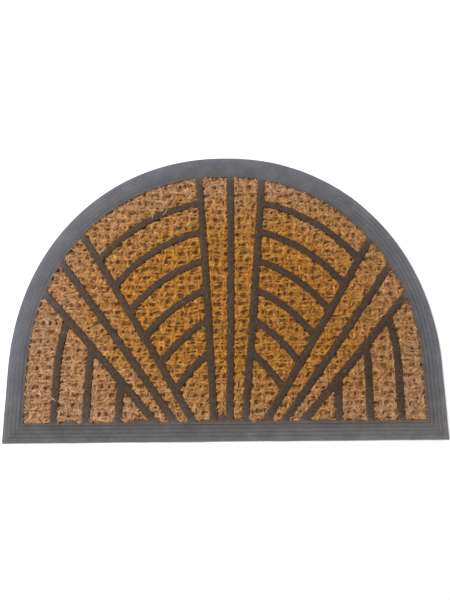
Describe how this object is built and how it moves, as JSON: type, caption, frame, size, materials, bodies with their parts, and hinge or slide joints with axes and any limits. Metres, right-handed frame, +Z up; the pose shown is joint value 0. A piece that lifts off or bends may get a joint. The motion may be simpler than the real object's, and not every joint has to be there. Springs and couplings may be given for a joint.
{
  "type": "doormat",
  "caption": "Half-round doormat: woven coir matting set in a rubber moulding with a bevelled, grooved border and a fan of flat scraper ribs. Lies flat on its backing.",
  "frame": {"origin": "middle of the mat's footprint, on the floor under it", "axes": "+X along the straight edge, to the right when that edge is nearest; +Y from the straight edge to the crown of the arch; +Z up"},
  "size_m": [0.6, 0.411, 0.007],
  "materials": {
    "rubber": "matt, fine moulded grain, dusty grey",
    "coir": "coarse woven coconut fibre, golden brown"
  },
  "bodies": {
    "root": {"rubber_moulding": "rubber", "coir_matting": "coir"}
  },
  "joints": []
}
